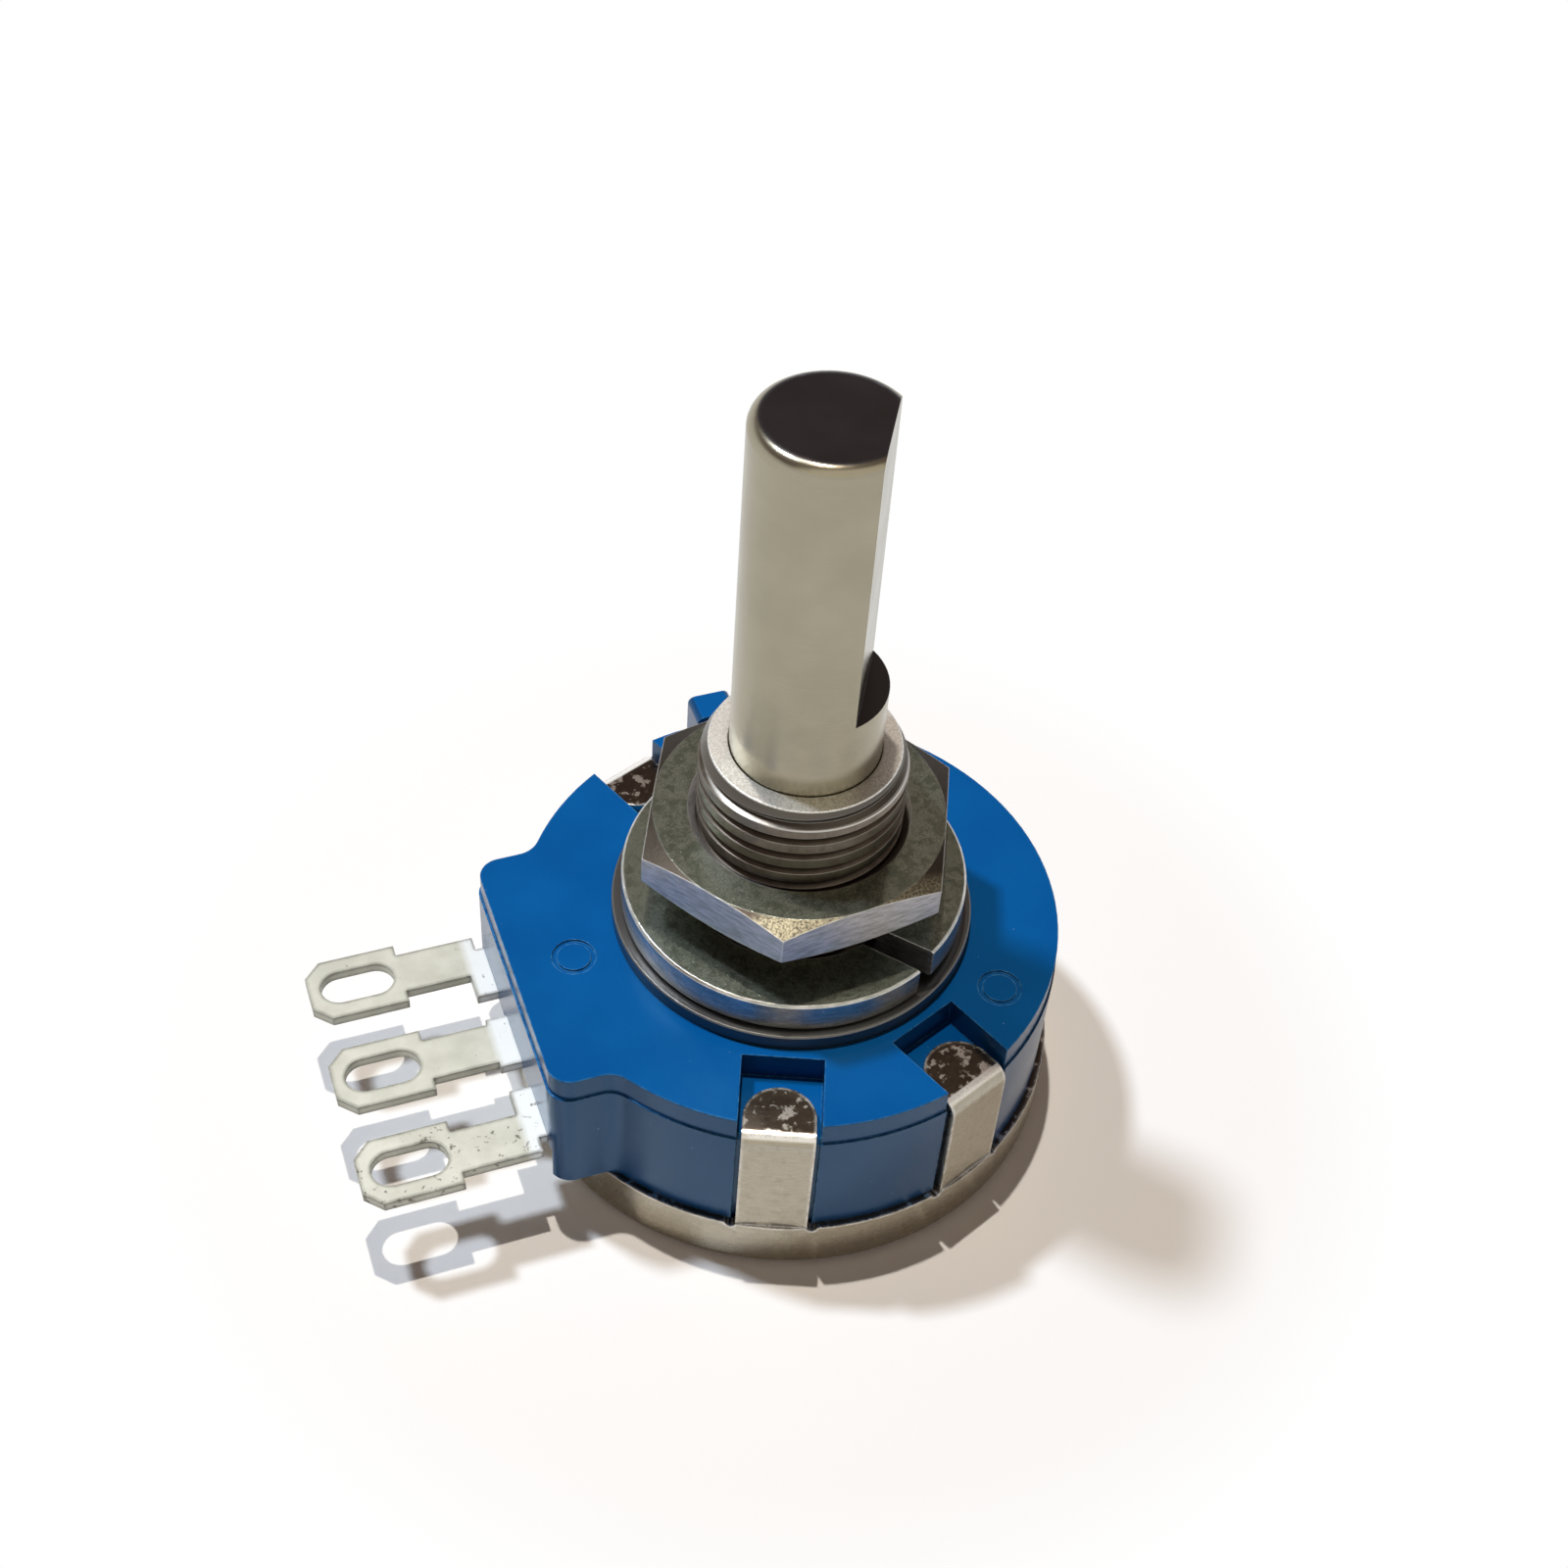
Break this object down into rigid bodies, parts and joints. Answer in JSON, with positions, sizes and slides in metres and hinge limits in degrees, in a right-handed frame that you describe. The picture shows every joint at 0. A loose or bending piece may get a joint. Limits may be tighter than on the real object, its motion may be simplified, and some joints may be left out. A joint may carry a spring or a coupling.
{
  "type": "rotary potentiometer",
  "caption": "Single-turn panel potentiometer with a threaded bushing, D shaft, moulded blue housing, tabbed metal rear cover and flat solder lugs.",
  "frame": {"origin": "centre of the rear cover's outer face, on which the part stands", "axes": "+Z along the shaft, out of the threaded bushing; the solder lugs point along -X"},
  "size_m": [0.0332, 0.0246, 0.0367],
  "materials": {
    "cover_steel": "tin plated pressed steel",
    "fibre_sheet": "insulating fibre sheet",
    "blue_moulding": "satin moulded thermoset",
    "phenolic": "paper phenolic laminate",
    "carbon_ink": "printed carbon ink",
    "silver_ink": "printed silver ink",
    "tinned_brass": "tinned sheet, satin",
    "rivet_brass": "headed brass",
    "cast_zinc": "plated casting with a cut thread, stained",
    "plated_steel": "dull plated steel, stained",
    "shaft_nickel": "satin nickel over steel",
    "spring_bronze": "phosphor bronze sheet",
    "spring_steel": "blackened spring steel",
    "natural_moulding": "natural moulded nylon"
  },
  "bodies": {
    "housing": {"rear_cover": "cover_steel", "insulating_sheet": "fibre_sheet", "housing": "blue_moulding", "element_board": "phenolic", "resistive_track": "carbon_ink", "electrode_start": "silver_ink", "electrode_end": "silver_ink", "collector_ring": "silver_ink", "terminal_start": "tinned_brass", "terminal_wiper": "tinned_brass", "terminal_end": "tinned_brass", "rivet_start": "rivet_brass", "rivet_wiper": "rivet_brass", "rivet_end": "rivet_brass", "threaded_bushing": "cast_zinc", "lock_washer": "plated_steel", "hex_nut": "plated_steel", "thrust_washer": "spring_bronze"},
    "rotor": {"shaft": "shaft_nickel", "retaining_clip": "spring_steel", "wiper_carrier": "natural_moulding", "wiper_spring": "spring_bronze"}
  },
  "joints": [
    {"name": "shaft_turn", "type": "hinge", "parent": "housing", "child": "rotor", "pos_m": [0, 0, 0.0202], "axis": [0, 0, 1], "range_deg": [-120, 180]}
  ]
}
